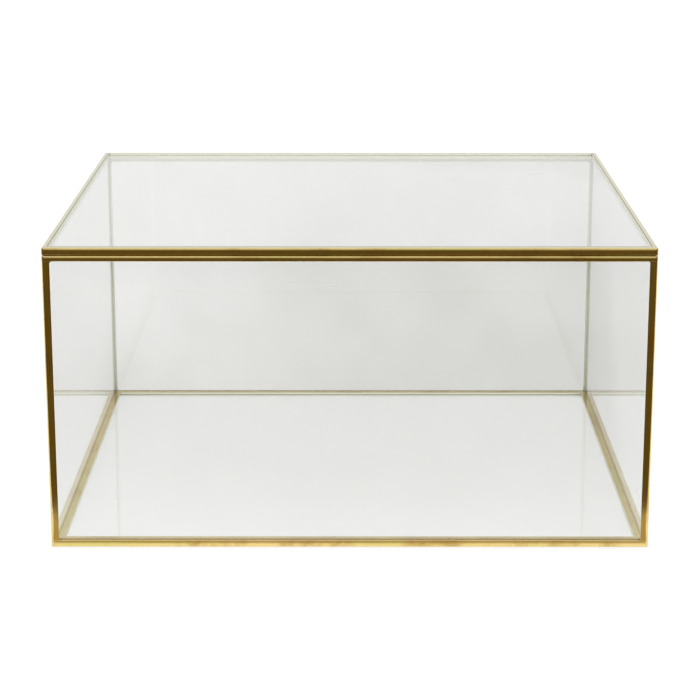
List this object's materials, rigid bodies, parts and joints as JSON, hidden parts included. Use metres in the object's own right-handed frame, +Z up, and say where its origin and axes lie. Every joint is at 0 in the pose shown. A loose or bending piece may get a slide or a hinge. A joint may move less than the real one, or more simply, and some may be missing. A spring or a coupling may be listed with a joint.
{
  "type": "glass casket box",
  "caption": "Keepsake casket of clear glass panes in a slim soldered brass frame, with a glass lid that swings up on hinges at the back.",
  "frame": {"origin": "on the surface the box stands on, under the middle of the closed box and its hinges", "axes": "+X to the box's right seen from the front, +Y to the back where the hinges are, +Z up"},
  "size_m": [0.3, 0.254, 0.155],
  "materials": {
    "clear_glass": "clear float glass, 2 mm",
    "frame_brass": "hand-polished, lightly tarnished",
    "hinge_brass": "satin, darker with age",
    "solder": "pale filled joint, filed flush"
  },
  "bodies": {
    "box": {"base_glass": "clear_glass", "front_glass": "clear_glass", "back_glass": "clear_glass", "left_glass": "clear_glass", "right_glass": "clear_glass", "base_front_rail": "frame_brass", "base_back_rail": "frame_brass", "base_left_rail": "frame_brass", "base_right_rail": "frame_brass", "front_left_post": "frame_brass", "front_right_post": "frame_brass", "back_left_post": "frame_brass", "back_right_post": "frame_brass", "rim_front": "frame_brass", "rim_back": "frame_brass", "rim_left": "frame_brass", "rim_right": "frame_brass", "base_corner_solder": "solder", "rim_corner_solder": "solder", "left_hinge_box_leaf": "hinge_brass", "left_hinge_pin": "hinge_brass", "right_hinge_box_leaf": "hinge_brass", "right_hinge_pin": "hinge_brass"},
    "lid": {"lid_glass": "clear_glass", "lid_front_rail": "frame_brass", "lid_back_rail": "frame_brass", "lid_left_rail": "frame_brass", "lid_right_rail": "frame_brass", "lid_corner_solder": "solder", "left_hinge_lid_leaf": "hinge_brass", "right_hinge_lid_leaf": "hinge_brass"}
  },
  "joints": [
    {"name": "lid_hinge", "type": "hinge", "parent": "box", "child": "lid", "pos_m": [0, 0.1248, 0.1511], "axis": [-1, 0, 0], "range_deg": [0, 105]}
  ]
}
